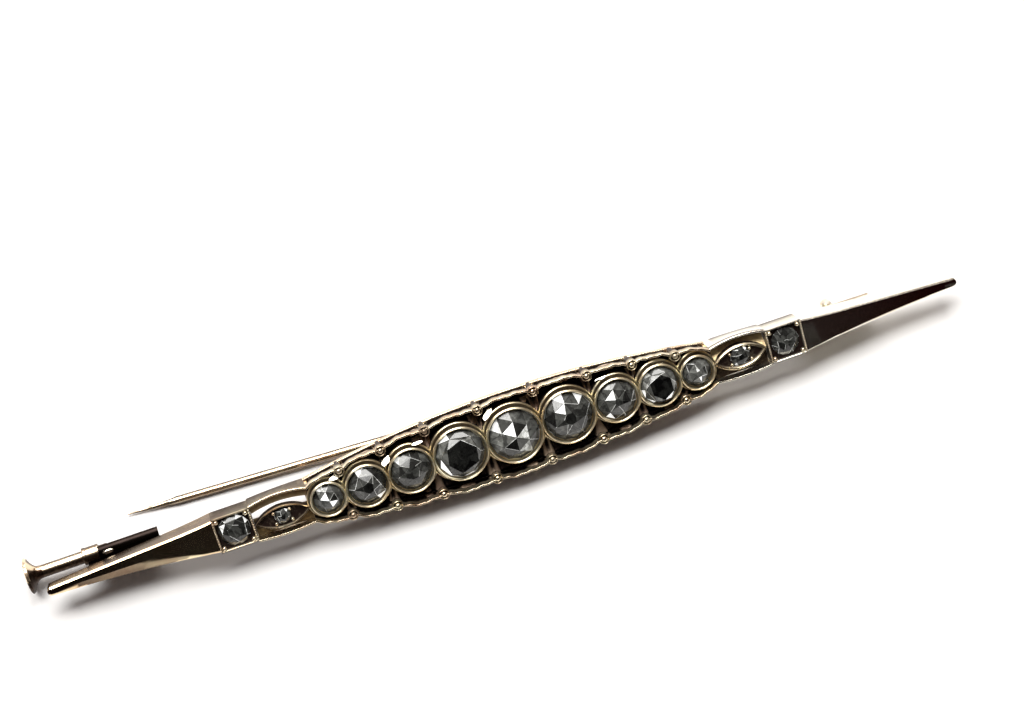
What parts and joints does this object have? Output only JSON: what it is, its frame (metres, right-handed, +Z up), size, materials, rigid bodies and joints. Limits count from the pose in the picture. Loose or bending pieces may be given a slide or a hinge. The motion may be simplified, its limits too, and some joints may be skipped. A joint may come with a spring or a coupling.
{
  "type": "bar brooch",
  "caption": "Slender bar brooch with graduated round stones in a scalloped pierced gallery, stone-set panels, long tapered points, hinged pin and sliding tube catch.",
  "frame": {"origin": "on the table under the middle of the brooch as it lies by itself with its pin open", "axes": "+X along the bar towards the pin's hinge, +Y across the bar towards the side where the pin opens, +Z up from the table; the face looks up and is leant towards -Y by its catch"},
  "size_m": [0.0734, 0.0076, 0.0055],
  "materials": {
    "gold": "worn polished yellow-rose gold, dark in the recesses",
    "pin_gold": "polished pale gold wire",
    "stone": "old rose-cut diamond, closed dark behind"
  },
  "bodies": {
    "bar": {"gallery_mount": "gold", "left_panel": "gold", "right_panel": "gold", "left_point": "gold", "right_point": "gold", "main_stone_1": "stone", "main_stone_2": "stone", "main_stone_3": "stone", "main_stone_4": "stone", "main_stone_5": "stone", "main_stone_6": "stone", "main_stone_7": "stone", "main_stone_8": "stone", "main_stone_9": "stone", "panel_stone_left": "stone", "panel_stone_right": "stone", "boat_stone_left": "stone", "boat_stone_right": "stone", "hinge_rivet": "pin_gold"},
    "pin": {"brooch_pin": "pin_gold"},
    "slide": {"catch_slide": "pin_gold"}
  },
  "joints": [
    {"name": "pin_hinge", "type": "hinge", "parent": "bar", "child": "pin", "pos_m": [0.02685, 0.00093, 0.00108], "axis": [-0.0091, -0.4465, -0.8947], "range_deg": [-2.69, 90]},
    {"name": "catch_slide", "type": "slide", "parent": "bar", "child": "slide", "axis": [1, 0, 0], "range_m": [0, 0.0035]}
  ]
}
